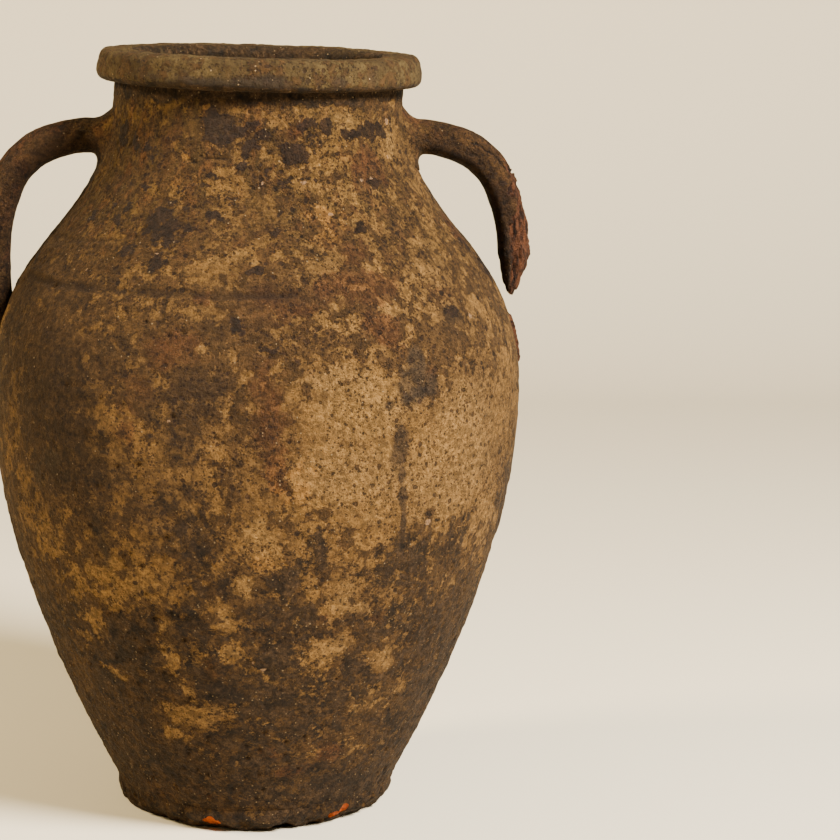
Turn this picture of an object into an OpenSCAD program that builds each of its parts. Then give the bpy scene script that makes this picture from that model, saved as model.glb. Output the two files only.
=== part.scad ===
// Large two-handled storage jar, thrown in stages that were luted together.
// Origin: centre of the underside. +Z is up and the handles lie along X.
// The handle on the +X side is broken off below its bend.

/* [Body] */
// Radius of the foot band
foot_r = 110; // [108:0.5:112]
// Height of the base slab, which is also the floor
foot_h = 20; // [18:1:24]
// Radius of the wall where it leaves the base
wall_foot_r = 111; // [110:0.5:114]
// Radius at the widest point
belly_r = 208; // [200:1:212]
// Height of the widest point
belly_z = 335; // [325:1:345]
// Radius of the neck
neck_r = 112; // [110:0.5:114]
// Thickness of the wall at the belly
belly_wall = 14; // [12:0.5:16]
// Thickness of the wall at the foot
foot_wall = 18; // [16:0.5:20]

/* [Mouth] */
// Height of the whole jar, to the top of the rim
jar_h = 600; // [598:1:606]
// Radius of the mouth's bore
mouth_r = 94; // [92:0.5:96]
// Outer radius of the rim
rim_r = 126; // [122:0.5:128]
// Height of the rim band
rim_h = 24; // [22:0.5:26]

/* [Handles] */
// Thickness of a handle, in the plane of its bend
handle_t = 27; // [24:0.5:29]
// Width of a handle, across the plane of its bend
handle_w = 38; // [34:1:42]

/* [Hidden] */
$fn = 96;

// Heights where one thrown stage was joined to the next
joint_lower = 185;
joint_belly = belly_z;
joint_shoulder = 433;
joint_neck = 548;
joint_rim = jar_h - rim_h;

// Outside of the body, as two curves that meet upright at the belly
lower_curve = [[wall_foot_r, foot_h], [wall_foot_r + 35, foot_h + 67],
               [belly_r, belly_z - 106], [belly_r, belly_z]];
upper_curve = [[belly_r, belly_z], [belly_r, belly_z + 128],
               [neck_r, joint_rim - 121], [neck_r, joint_rim + 4]];
neck_wall = neck_r - mouth_r + 2;
floor_r = wall_foot_r - foot_wall - 1;
curve_steps = 14;

// Centreline of a handle in the X-Z plane: over the bend, then down to the belly
bend_curve = [[neck_r - 4, 536], [170, 540], [201, 505], [204.5, 436]];
fall_curve = [[204.5, 436], [205, 410], [203, 385], [195, 350]];
handle_sides = 24;
bend_steps = 18;
fall_steps = 9;
root_swell = 0.35;   // extra thickness where the upper root meets the neck
root_fade = 0.28;    // share of the bend over which that swelling fades out

// Outline of the broken end in the X-Z plane, from the outer side to the inner side
break_line = [[235, 452], [218, 441], [213, 431], [208, 417], [203, 410], [199.5, 415],
              [197.5, 413], [195.5, 426], [180, 430]];
flake_corner = [213, -19, 440];   // where the flake on the outer front of the stub starts
flake_lean = [0, -7, 24];

// Torn patch of clay left on the belly where the lower root came away
scar_z = 376;
scar_length = 46;
scar_width = 34;
scar_proud = 3;

edge_r = 7;          // rounding of the rim's edges
bore_top = jar_h - edge_r;
rim_taper = 1.5;     // how much the top edge of the rim draws in

clay = [0.52, 0.38, 0.22];
dark_clay = [0.27, 0.20, 0.14];
olive_clay = [0.38, 0.30, 0.19];
red_clay = [0.40, 0.24, 0.15];
fresh_clay = [0.55, 0.28, 0.18];

// A point on a cubic curve, and its unit normal on the side away from the axis
function bezier(c, t) = pow(1 - t, 3) * c[0] + 3 * pow(1 - t, 2) * t * c[1]
                      + 3 * (1 - t) * t * t * c[2] + pow(t, 3) * c[3];
function slope(c, t) = pow(1 - t, 2) * (c[1] - c[0]) + 2 * (1 - t) * t * (c[2] - c[1])
                     + t * t * (c[3] - c[2]);
function normal(c, t) = let (s = slope(c, t)) [s[1], -s[0]] / norm(s);
function beside(c, t, gap) = bezier(c, t) + gap * normal(c, t);
function mix(a, b, t) = a + (b - a) * t;
function arc(centre, r, from, to, steps = 6) =
    [for (i = [0 : steps]) let (a = mix(from, to, i / steps)) centre + r * [cos(a), sin(a)]];
function flipped(line) = [for (i = [len(line) - 1 : -1 : 0]) line[i]];

// The body's outside, moved outwards by a gap, and its inside
function outside(gap = 0) = concat(
    [for (i = [0 : curve_steps]) beside(lower_curve, i / curve_steps, gap)],
    [for (i = [1 : curve_steps]) beside(upper_curve, i / curve_steps, gap)]);
inside = concat(
    [[floor_r, foot_h]],
    [for (i = [0 : curve_steps]) let (t = i / curve_steps)
        beside(lower_curve, t, -mix(foot_wall, belly_wall, t))],
    [for (i = [1 : curve_steps]) let (t = i / curve_steps)
        beside(upper_curve, t, -mix(belly_wall, neck_wall, t * t))]);

// The whole wall of the body, from the base to the rim, open at both ends
module wall() rotate_extrude() polygon(concat(outside(), flipped(inside)));

// The body as if it were solid, with its outside moved outwards by a gap
module solid_body(gap = 0) {
    rotate_extrude($fn = 360)
        polygon(concat([[0, foot_h]], outside(gap), [[0, joint_rim + 4]]));
}

module slab(low, high) translate([0, 0, low]) cylinder(r = rim_r + belly_r, h = high - low);

// One thrown stage, cut level at its joints
module stage(low, high) {
    intersection() {
        wall();
        slab(low, high);
    }
}

module mouth_bore() translate([0, 0, joint_neck - 1]) cylinder(r = mouth_r, h = jar_h);

module base() {
    color(dark_clay)
        rotate_extrude()
            polygon(concat([[0, 0]], arc([foot_r - 5, 5], 5, -90, 0),
                           [[wall_foot_r, foot_h * 0.6], [foot_r, foot_h], [0, foot_h]]));
}

module lower_wall() color(dark_clay) stage(foot_h, joint_lower);
module belly_lower() color(clay) stage(joint_lower, joint_belly);
module belly_upper() color(clay) stage(joint_belly, joint_shoulder);
module shoulder() color(clay) stage(joint_shoulder, joint_neck);

module neck() {
    color(clay)
        difference() {
            intersection() {
                solid_body();
                slab(joint_neck, joint_rim);
            }
            mouth_bore();
        }
}

module rim() {
    color(olive_clay)
        difference() {
            rotate_extrude()
                polygon(concat(
                    [[0, joint_rim], [neck_r, joint_rim]],
                    arc([rim_r - edge_r, joint_rim + edge_r + 1], edge_r, -80, 0),
                    arc([rim_r - rim_taper - edge_r, jar_h - edge_r], edge_r, 0, 90),
                    arc([mouth_r + edge_r, bore_top], edge_r, 90, 180),
                    [[0, bore_top]]));
            mouth_bore();
        }
}

// One cross-section of the handle: an oval ring, square to the centreline
function handle_ring(c, t, swell) =
    let (p = bezier(c, t), n = normal(c, t), k = 1 + root_swell * swell)
    [for (i = [0 : handle_sides - 1]) let (a = 360 * i / handle_sides, q = cos(a) * handle_t * k / 2)
        [p[0] + n[0] * q, sin(a) * handle_w * k / 2, p[1] + n[1] * q]];
function swelling(t) = pow(max(0, 1 - t / root_fade), 2);

// The handle as one closed sweep, long enough for the body to trim both its ends
module handle_sweep() {
    rings = concat(
        [for (i = [0 : bend_steps]) let (t = i / bend_steps) handle_ring(bend_curve, t, swelling(t))],
        [for (i = [1 : fall_steps]) handle_ring(fall_curve, i / fall_steps, 0)]);
    n = handle_sides;
    last = len(rings) - 1;
    points = [for (ring = rings) for (p = ring) p];
    side = [for (k = [0 : last - 1], i = [0 : n - 1]) let (j = (i + 1) % n)
        each [[k * n + i, k * n + j, (k + 1) * n + j],
              [k * n + i, (k + 1) * n + j, (k + 1) * n + i]]];
    ends = [[for (i = [0 : n - 1]) n - 1 - i], [for (i = [0 : n - 1]) last * n + i]];
    polyhedron(points, concat(side, ends), convexity = 6);
}

module whole_handle() {
    difference() {
        handle_sweep();
        solid_body();
    }
}

// The room taken by what is left of the broken handle, above the fracture
module unbroken_room() {
    difference() {
        rotate([90, 0, 0])
            linear_extrude(height = 100, center = true)
                polygon(concat([[80, 430], [80, 620], [235, 620]], break_line));
        translate(flake_corner) rotate(flake_lean) translate([0, -30, -60]) cube([30, 40, 108]);
    }
}

module left_handle() color(red_clay) mirror([1, 0, 0]) whole_handle();

module right_handle_stub() {
    color(red_clay)
        intersection() {
            whole_handle();
            unbroken_room();
        }
}

// A thin patch that follows the belly, with the handle's own rounded outline
module right_handle_scar() {
    half = (scar_length - scar_width) / 2;
    color(fresh_clay)
        difference() {
            intersection() {
                solid_body(scar_proud);
                translate([neck_r, 0, scar_z]) rotate([0, 90, 0])
                    linear_extrude(height = belly_r)
                        polygon(concat(arc([half, 0], scar_width / 2, -90, 90, 12),
                                       arc([-half, 0], scar_width / 2, 90, 270, 12)));
            }
            solid_body();
        }
}

base();
lower_wall();
belly_lower();
belly_upper();
shoulder();
neck();
rim();
left_handle();
right_handle_stub();
right_handle_scar();
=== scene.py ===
"""The looks of a weathered two-handled storage jar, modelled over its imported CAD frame.

Every solid of the frame is replaced by a detailed closed mesh of the same size in the same place.
Lengths are in metres, +Z is up, and the viewer stands on the -Y side. An azimuth is measured from the
viewer's side, towards +X.
"""

import math

import bpy
import numpy as np
from mathutils import Matrix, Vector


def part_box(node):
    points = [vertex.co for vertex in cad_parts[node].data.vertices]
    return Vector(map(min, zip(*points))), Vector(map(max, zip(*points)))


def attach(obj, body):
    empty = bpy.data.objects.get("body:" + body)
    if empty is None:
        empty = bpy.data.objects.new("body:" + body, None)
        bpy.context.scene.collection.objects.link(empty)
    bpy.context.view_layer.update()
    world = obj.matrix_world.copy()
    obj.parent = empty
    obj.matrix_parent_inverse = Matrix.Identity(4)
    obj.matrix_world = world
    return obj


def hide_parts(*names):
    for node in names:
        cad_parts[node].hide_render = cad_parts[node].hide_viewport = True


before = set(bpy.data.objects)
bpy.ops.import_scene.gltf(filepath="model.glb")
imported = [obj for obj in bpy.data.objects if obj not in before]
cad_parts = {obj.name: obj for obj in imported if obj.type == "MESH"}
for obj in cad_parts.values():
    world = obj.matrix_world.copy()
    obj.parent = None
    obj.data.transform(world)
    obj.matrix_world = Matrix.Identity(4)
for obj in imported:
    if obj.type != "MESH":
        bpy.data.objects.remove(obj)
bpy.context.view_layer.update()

MM = 0.001

# Sizes read from the frame
JOINT_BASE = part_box("base")[1].z
JOINT_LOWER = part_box("lower_wall")[1].z
JOINT_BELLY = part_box("belly_lower")[1].z
JOINT_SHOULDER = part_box("belly_upper")[1].z
JOINT_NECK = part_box("shoulder")[1].z
JOINT_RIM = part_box("neck")[1].z
JAR_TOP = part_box("rim")[1].z
BELLY_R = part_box("belly_lower")[1].y
RIM_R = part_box("rim")[1].y

# Sizes that the frame's boxes don't give
WALL_FOOT_R = 111 * MM
FOOT_R = 110 * MM
NECK_R = 112 * MM
MOUTH_R = 94 * MM
FLOOR_R = 92 * MM
FOOT_WALL = 18 * MM
BELLY_WALL = 14 * MM
NECK_WALL = 20 * MM
RIM_EDGE = 7 * MM
RIM_TAPER = 1.5 * MM

LOWER_CURVE = np.array([
    [WALL_FOOT_R, JOINT_BASE],
    [WALL_FOOT_R + 35 * MM, JOINT_BASE + 67 * MM],
    [BELLY_R, JOINT_BELLY - 106 * MM],
    [BELLY_R, JOINT_BELLY],
])
UPPER_CURVE = np.array([
    [BELLY_R, JOINT_BELLY],
    [BELLY_R, JOINT_BELLY + 128 * MM],
    [NECK_R, JOINT_RIM - 121 * MM],
    [NECK_R, JOINT_RIM + 4 * MM],
])

COLUMNS = 768
ROW_STEP = 1.65 * MM
INNER_STEP = 12 * MM


# ---- Curves ----


def bezier(curve, t):
    """Points of a cubic curve."""
    t = np.asarray(t)[:, None]
    u = 1 - t
    return u**3 * curve[0] + 3 * u * u * t * curve[1] + 3 * u * t * t * curve[2] + t**3 * curve[3]


def bezier_normal(curve, t):
    """Unit normals of a cubic curve, on the side away from the axis."""
    t = np.asarray(t)[:, None]
    u = 1 - t
    run = u * u * (curve[1] - curve[0]) + 2 * u * t * (curve[2] - curve[1]) + t * t * (curve[3] - curve[2])
    normal = np.stack([run[:, 1], -run[:, 0]], 1)
    return normal / np.linalg.norm(normal, axis=1)[:, None]


def smooth_step(low, high, x):
    """From 0 at low to 1 at high, with soft ends."""
    t = np.clip((x - low) / (high - low), 0, 1)
    return t * t * (3 - 2 * t)


def arc(centre, radius, start, end, steps=8):
    """Points of an arc in the r-z plane, from one angle to another, in degrees."""
    a = np.radians(np.linspace(start, end, steps + 1))
    return np.stack([centre[0] + radius * np.cos(a), centre[1] + radius * np.sin(a)], 1)


def resample(points, step):
    """The same line with points about one step apart, its ends kept."""
    length = np.concatenate([[0], np.cumsum(np.linalg.norm(np.diff(points, axis=0), axis=1))])
    count = max(1, int(round(length[-1] / step)))
    at = np.linspace(0, length[-1], count + 1)
    return np.stack([np.interp(at, length, points[:, k]) for k in range(points.shape[1])], 1)


def line_normals(points):
    """Unit normals along a line that runs up the outside and down the inside."""
    run = np.gradient(points, axis=0)
    normal = np.stack([run[:, 1], -run[:, 0]], 1)
    return normal / np.maximum(np.linalg.norm(normal, axis=1), 1e-9)[:, None]


T = np.linspace(0, 1, 400)
OUTER = np.concatenate([bezier(LOWER_CURVE, T), bezier(UPPER_CURVE, T[1:])])
OUTER_NORMAL = np.concatenate([bezier_normal(LOWER_CURVE, T), bezier_normal(UPPER_CURVE, T[1:])])
THICKNESS = np.concatenate([
    FOOT_WALL + (BELLY_WALL - FOOT_WALL) * T,
    BELLY_WALL + (NECK_WALL - BELLY_WALL) * T[1:] ** 2,
])
INNER = np.concatenate([[[FLOOR_R, JOINT_BASE]], OUTER - OUTER_NORMAL * THICKNESS[:, None]])


def outer_radius(z):
    """Radius of the wall's outside at a height."""
    return np.interp(z, OUTER[:, 1], OUTER[:, 0])


def wall_line(low, high, line, step):
    """The part of a wall line between two heights, evenly spaced, with its ends exactly at them."""
    inside = line[(line[:, 1] > low) & (line[:, 1] < high)]
    ends = [[np.interp(z, line[:, 1], line[:, 0]), z] for z in (low, high)]
    return resample(np.concatenate([[ends[0]], inside, [ends[1]]]), step)


# ---- Noise ----


def lattice(ix, iy, iz, seed):
    """A repeatable random number from 0 to 1 for each point of a lattice."""
    h = ix * 374761393 + iy * 668265263 + iz * 1440662683 + seed * 1274126177
    h = (h ^ (h >> 13)) & 0xFFFFFFFF
    h = (h * 1103515245 + 12345) & 0xFFFFFFFF
    h = (h ^ (h >> 15)) & 0xFFFFFFFF
    h = (h * 1911520717) & 0xFFFFFFFF
    return ((h ^ (h >> 14)) & 0xFFFFFF) / float(0xFFFFFF)


def noise(p, size, seed):
    """Smooth noise from -1 to 1 at the points p, with lumps about one size across."""
    q = p / size
    cell = np.floor(q).astype(np.int64)
    f = q - cell
    w = f * f * f * (f * (f * 6 - 15) + 10)
    total = np.zeros(len(p))
    for corner in np.ndindex(2, 2, 2):
        share = np.ones(len(p))
        for k in range(3):
            share = share * (w[:, k] if corner[k] else 1 - w[:, k])
        total += share * lattice(cell[:, 0] + corner[0], cell[:, 1] + corner[1], cell[:, 2] + corner[2], seed)
    return 2 * total - 1


def fractal(p, size, seed, octaves=4, gain=0.55):
    """Noise with finer and fainter copies of itself added, kept to about -1 to 1."""
    total = np.zeros(len(p))
    most = 0
    for k in range(octaves):
        total += noise(p, size / 2**k, seed + 17 * k) * gain**k
        most += gain**k
    return total / most * 1.4


# ---- Meshes ----


def make_mesh(name, points, faces, flat_from=None):
    """A mesh object whose faces from flat_from on are joint faces, shaded flat."""
    mesh = bpy.data.meshes.new(name)
    loops = np.concatenate([f.ravel() for f in faces]).astype(np.int32)
    sizes = np.concatenate([np.full(len(f), f.shape[1]) for f in faces]).astype(np.int32)
    starts = np.concatenate([[0], np.cumsum(sizes)[:-1]]).astype(np.int32)
    mesh.vertices.add(len(points))
    mesh.vertices.foreach_set("co", points.astype(np.float32).ravel())
    mesh.loops.add(len(loops))
    mesh.loops.foreach_set("vertex_index", loops)
    mesh.polygons.add(len(sizes))
    mesh.polygons.foreach_set("loop_start", starts)
    smooth = np.ones(len(sizes), bool)
    if flat_from is not None:
        smooth[flat_from:] = False
    mesh.polygons.foreach_set("use_smooth", smooth)
    mesh.update(calc_edges=True)
    mesh.validate()
    piece = bpy.data.objects.new(name, mesh)
    bpy.context.scene.collection.objects.link(piece)
    return piece


def smooth_across(piece, rows):
    """Gives the end rows of a ring the normals of the whole wall, so that no seam shows at a joint."""
    mesh = piece.data
    normals = np.empty(3 * len(mesh.vertices), np.float32)
    mesh.vertices.foreach_get("normal", normals)
    normals = normals.reshape(-1, 3)
    for row, values in rows.items():
        normals[row * COLUMNS:(row + 1) * COLUMNS] = values
    mesh.normals_split_custom_set_from_vertices(normals)


def put_masks(piece, masks):
    """Stores each mask as a float for each vertex, for the material to read. Vertices left over get 0."""
    count = len(piece.data.vertices)
    for name, values in masks.items():
        held = piece.data.attributes.new(name, "FLOAT", "POINT")
        held.data.foreach_set("value", np.pad(values, (0, count - len(values))).astype(np.float32))


def grid_faces(rows, sides, wrap_rows=False):
    """Quads of a grid of rings, row by row, closed around each ring."""
    at = np.arange(rows * sides).reshape(rows, sides)
    at = np.column_stack([at, at[:, 0]])
    return quads(np.vstack([at, at[0]]) if wrap_rows else at)


def quads(at):
    """Quads of a grid of point numbers."""
    return np.stack([at[:-1, :-1], at[:-1, 1:], at[1:, 1:], at[1:, :-1]], 2).reshape(-1, 4)


def fan(middle, ring):
    """Triangles from a middle point to each side of a closed ring of points."""
    return np.stack([np.full(len(ring), middle), ring, np.roll(ring, -1)], 1)


def capped_faces(rows, sides, inside_out=False):
    """Faces of a grid of rings and two fans that close its ends, whose middle points come after the grid."""
    ring = np.arange(sides)
    start = fan(rows * sides, ring)[:, [0, 2, 1]]
    end = fan(rows * sides + 1, (rows - 1) * sides + ring)
    faces = [grid_faces(rows, sides), start, end]
    return [np.roll(f[:, ::-1], 1, 1) for f in faces] if inside_out else faces


def revolve(line):
    """Points, or normals, of a line turned about the axis, row by row, with column 0 facing the viewer."""
    a = np.linspace(0, 2 * math.pi, COLUMNS, endpoint=False)
    x = line[:, 0:1] * np.sin(a)[None, :]
    y = -line[:, 0:1] * np.cos(a)[None, :]
    z = np.repeat(line[:, 1:2], COLUMNS, 1)
    return np.stack([x, y, z], 2).reshape(-1, 3)


# ---- Relief of the clay ----


SHIFT_HEIGHTS = np.array([0, 100, 200, 335, 430, 500, 570, 600]) * MM
SHIFTS = np.array([0.3, 0.8, 0.8, 1.9, 1.6, 2.2, 3.2, 4.0]) * MM
RIM_TILT = 0.020
RIM_SAG = 0.012


def warp(p):
    """The jar as a whole leans and bulges a little, and its rim dips towards +X."""
    z = p[:, 2]
    radius = np.maximum(np.hypot(p[:, 0], p[:, 1]), 1e-6)
    a = np.arctan2(p[:, 0], -p[:, 1])
    body = smooth_step(20 * MM, 120 * MM, z) * (1 - 0.5 * smooth_step(540 * MM, 600 * MM, z))
    out = body * (0.6 * np.cos(2 * a + 0.7) + 0.4 * np.cos(3 * a + 2.1 + 4 * z)) * MM
    out += 1.3 * MM * smooth_step(40 * MM, 130 * MM, z) * (1 - smooth_step(250 * MM, 330 * MM, z))
    out *= smooth_step(30 * MM, 90 * MM, radius)
    warped = p.copy()
    warped[:, 0] += p[:, 0] / radius * out + np.interp(z, SHIFT_HEIGHTS, SHIFTS)
    warped[:, 1] += p[:, 1] / radius * out
    high = smooth_step(JOINT_NECK, JOINT_RIM + 6 * MM, z)
    warped[:, 2] -= high * (RIM_TILT * p[:, 0] + RIM_SAG * (p[:, 1] + RIM_R))
    return warped


# Marks on the clay, each as azimuth, height, half width, half height, strength. Degrees, then millimetres.
SOOT = [
    (-16, 551, 11, 11, 1.0), (-8, 548, 7, 5, 0.8), (-4, 553, 5, 3, 0.8), (2, 548, 5, 4, 1.0),
    (5, 549, 3, 2, 0.7), (-3, 538, 6, 7, 0.8), (-6, 526, 7, 5, 0.8), (1, 536, 4, 3, 0.8),
    (2.5, 522, 3, 3, 0.8), (12, 533, 11, 8, 1.0), (17, 552, 5, 7, 0.7), (24, 549, 7, 6, 1.1),
    (37, 545, 7, 4, 0.9), (43, 543, 8, 5, 0.9), (52, 545, 8, 4, 0.9), (46, 541, 6, 3, 0.8),
    (-46, 532, 7, 6, 0.7), (-52, 535, 6, 5, 0.6), (-30, 483, 12, 6, 0.7), (-27, 472, 15, 9, 0.65),
    (-33, 476, 9, 6, 0.6), (-38, 462, 10, 7, 0.65), (-27, 454, 8, 8, 0.7), (-44, 486, 5, 5, 0.7),
    (-46, 476, 7, 4, 0.8), (-52, 486, 6, 3, 0.6), (-60, 478, 7, 5, 0.7), (-22, 487, 4, 3, 0.7),
    (-29, 495, 6, 4, 0.7), (-13, 486, 5, 4, 0.7), (-18, 476, 7, 3, 0.7), (-8, 496, 5, 3, 0.6),
    (-16, 512, 7, 3, 0.7), (-22, 503, 5, 3, 0.6), (-27, 506, 4, 3, 0.6), (6, 477, 6, 5, 0.6),
    (8, 487, 5, 5, 0.6), (30, 475, 7, 5, 0.7), (17, 513, 7, 4, 0.6), (9, 508, 5, 6, 0.6),
    (-1, 447, 6, 2, 0.9), (-4, 417, 7, 5, 0.6), (3, 401, 9, 3, 0.7), (-62, 540, 8, 8, 0.7),
    (-40, 527, 6, 8, 0.6), (49, 412, 9, 7, 0.6), (44, 503, 9, 6, 0.8), (-40, 505, 7, 3, 0.6),
    (-33, 540, 5, 6, 0.5), (20, 540, 5, 8, 0.5),
]
STAIN = [
    (-12, 366, 26, 20, 0.9), (-15, 335, 20, 26, 0.8), (-22, 350, 12, 20, 0.6), (-15, 290, 20, 16, 0.6),
    (-14, 262, 12, 20, 0.6), (-50, 352, 50, 55, 0.75), (-68, 380, 40, 60, 0.6), (-44, 300, 44, 22, 0.8),
    (-38, 316, 32, 30, 0.9), (-2, 492, 24, 20, 0.35), (-36, 262, 9, 26, 0.8), (-68, 250, 30, 40, 0.4),
    (4, 434, 40, 6, 0.5), (-10, 410, 16, 16, 0.5), (47, 405, 20, 14, 0.5), (2, 330, 10, 30, 0.4),
    (-5, 300, 12, 16, 0.5), (-45, 425, 60, 8, 0.3), (-35, 440, 40, 10, 0.3), (22, 390, 20, 10, 0.2),
    (-30, 390, 40, 14, 0.5),
]
RED = [
    (41, 519, 15, 13, 1.0), (47, 508, 8, 7, 0.8), (14, 551, 8, 6, 0.9), (25, 440, 32, 14, 0.7),
    (28, 410, 14, 14, 0.7), (6, 428, 30, 12, 0.5), (-14, 431, 8, 5, 0.8), (-18, 396, 24, 10, 0.7),
    (2, 350, 12, 36, 0.6), (4, 310, 8, 18, 0.7), (24, 462, 18, 8, 0.5), (0, 470, 22, 20, 0.3),
    (5, 73, 8, 5, 0.9), (24, 72, 14, 9, 0.8), (12, 58, 16, 6, 0.8), (-22, 34, 9, 5, 0.7),
    (-45, 28, 18, 8, 0.4), (-10, 150, 8, 5, 0.5), (-28, 335, 10, 20, 0.5), (-25, 365, 12, 10, 0.5),
    (38, 375, 8, 6, 0.6), (-34, 538, 10, 18, 0.5), (16, 190, 6, 6, 0.5), (30, 185, 12, 5, 0.5),
    (50, 430, 18, 10, 0.4),
]
ORANGE = [
    (20, 480, 13, 12, 0.9), (25, 486, 9, 6, 0.8), (17, 472, 8, 6, 0.5), (-21, 386, 3, 3, 0.9),
    (-24, 320, 12, 20, 0.3), (8, 300, 26, 24, 0.45), (0, 240, 12, 26, 0.45), (-30, 520, 14, 16, 0.4),
]
OCHRE = [
    (22, 352, 48, 24, 0.8), (20, 305, 52, 26, 1.0), (45, 300, 60, 40, 0.75), (25, 275, 30, 14, 0.5),
    (48, 340, 40, 30, 0.7), (14, 376, 24, 9, 0.8), (0, 256, 16, 16, 0.8), (-3, 218, 6, 16, 0.8),
    (-33, 215, 46, 22, 0.85), (-48, 240, 36, 22, 0.5), (-22, 165, 9, 25, 0.8), (-42, 178, 16, 10, 0.8),
    (-6, 165, 9, 8, 0.8), (-8, 192, 12, 12, 0.7), (-20, 110, 26, 10, 0.9), (-26, 93, 12, 9, 0.8),
    (-40, 137, 13, 4, 0.9), (-19, 134, 9, 6, 0.8), (19, 205, 9, 18, 0.6), (24, 192, 14, 6, 0.8),
    (18, 162, 16, 9, 0.8), (33, 150, 12, 10, 0.7), (40, 117, 8, 9, 0.7), (-12, 500, 40, 30, 0.15),
    (-20, 520, 24, 10, 0.35), (33, 553, 18, 6, 0.9), (58, 535, 10, 14, 0.7), (45, 480, 40, 20, 0.2),
    (-8, 455, 24, 8, 0.5), (8, 556, 20, 6, 0.4), (62, 250, 24, 26, 0.5), (52, 205, 20, 14, 0.4),
    (66, 190, 14, 12, 0.4), (-58, 120, 16, 16, 0.4), (-50, 158, 12, 10, 0.4), (36, 112, 26, 16, 0.55),
    (28, 76, 30, 14, 0.5), (-17, 112, 20, 14, 0.6), (52, 445, 22, 30, 0.4),
]
CRUST = [
    (6, 228, 15, 18, 0.75), (13, 244, 12, 16, 0.7), (-14, 255, 16, 28, 0.5), (-14, 215, 18, 22, 0.5),
    (-6, 218, 8, 20, 0.6), (33, 228, 38, 30, 0.62), (50, 250, 26, 20, 0.6), (42, 262, 28, 8, 0.5),
    (12, 190, 14, 16, 0.7), (-34, 172, 12, 16, 1.1), (-35, 150, 17, 14, 1.1), (-44, 130, 18, 12, 0.9),
    (-10, 126, 14, 12, 0.9), (4, 160, 13, 18, 0.9), (2, 120, 26, 20, 0.7), (-15, 196, 10, 22, 0.6),
    (-26, 180, 7, 10, 0.6), (-28, 150, 10, 10, 0.7), (30, 120, 40, 30, 0.6), (50, 160, 40, 40, 0.55),
    (0, 60, 90, 34, 0.5), (-50, 60, 90, 40, 0.65), (50, 60, 90, 40, 0.5), (0, 8, 120, 14, 0.6),
    (-60, 190, 24, 16, 0.4), (10, 12, 26, 9, 1.2), (35, 36, 40, 14, 0.9), (-9, 282, 14, 12, 0.4),
    (-8, 300, 8, 14, 0.3), (-10, 90, 30, 12, 0.5),
]
DRIP = [
    (30.5, 324, 7, 17, 0.9), (29, 316, 5, 12, 0.6), (31, 300, 4, 9, 0.8), (31.8, 284, 4.5, 9, 0.9),
    (32.4, 262, 3, 22, 0.9), (27.5, 354, 4, 4, 0.9), (-35.5, 262, 4, 22, 0.5), (-34.5, 240, 6, 14, 0.6),
    (-21.8, 424, 3, 10, 0.5), (-57, 330, 5, 30, 0.4),
]
GREY = [
    (35, 384, 8, 11, 0.9), (33.5, 367, 13, 15, 1.0), (38, 366, 8, 10, 0.7), (-62, 435, 20, 30, 0.2),
    (49, 412, 14, 9, 0.4), (-48, 305, 10, 8, 0.6), (-53, 290, 5, 10, 0.7), (5, 160, 12, 12, 0.4),
    (-33, 152, 10, 10, 0.4), (4, 36, 18, 12, 0.4),
]
DEEP = [(35, 361, 11, 4.5, 0.9), (31.5, 357, 7, 4, 0.8), (36, 376, 6, 8, 0.3)]
PALE = [
    (39, 260, 3.5, 3, 1.0), (23, 487, 3, 1.5, 0.9), (59, 551, 3, 3, 1.0), (37.5, 509, 2.5, 1.8, 0.9),
    (42, 509, 2.5, 1.8, 0.9), (1.5, 511, 2.2, 2, 0.8), (15.5, 510, 3, 2.2, 0.9), (56, 408, 5, 4, 0.7),
    (53, 453, 6, 2, 0.6), (2, 150, 3, 2, 1.0), (-1, 157, 2, 2, 0.9), (58, 162, 4, 5, 0.6),
    (-27.5, 459, 3.5, 1.2, 0.8), (37, 325, 6, 6, 0.5), (-18, 345, 2, 2.5, 0.8), (55, 525, 2, 2, 0.8),
    (62, 481, 3, 1.2, 0.8), (-51, 537, 2, 1.5, 0.8), (-48, 444, 2, 1.5, 0.9), (-47, 406, 2.5, 2.5, 0.7),
]
FRESH = [(-19, 7, 7, 3.5, 1.1), (-18.5, 10, 3.5, 3, 1.0), (34.5, 8, 5, 3.5, 1.1), (39.5, 11, 5, 5, 1.1)]
FEATURE_SETS = {
    "soot": SOOT, "stain_and_shade": STAIN, "red": RED, "orange": ORANGE, "ochre": OCHRE, "crust": CRUST, "grey": GREY,
    "deep": DEEP, "pale": PALE, "fresh": FRESH, "drip": DRIP,
}
CALM_SETS = ("grey", "deep", "pale", "fresh", "drip")

# Scattered marks for the side that faces away: how many, lowest and highest place, and least and greatest
# half size
BACK_SCATTER = {
    "soot": (90, 400, 560, 3, 12), "stain_and_shade": (22, 210, 440, 12, 45), "red": (26, 30, 550, 8, 28),
    "orange": (8, 250, 500, 8, 20), "ochre": (40, 90, 550, 8, 45), "crust": (44, 0, 270, 10, 36),
    "grey": (8, 100, 420, 6, 18), "drip": (10, 220, 420, 3, 18), "pale": (34, 60, 550, 1.5, 4),
    "fresh": (2, 3, 8, 3, 5),
}


def scatter_back():
    """Adds marks of every kind round the back, from azimuth 78 to 282, the same ones each time."""
    sets = {name: list(marks) for name, marks in FEATURE_SETS.items()}
    random = np.random.default_rng(20)
    for name, (count, low, high, small, large) in BACK_SCATTER.items():
        for _ in range(count):
            size = small + (large - small) * random.random() ** 2
            squash = random.uniform(0.5, 1.0)
            place = (random.uniform(78, 282), random.uniform(low, high))
            sets[name].append((*place, size, size * squash, random.uniform(0.5, 1.0)))
    return sets


MARKS = scatter_back()


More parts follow.
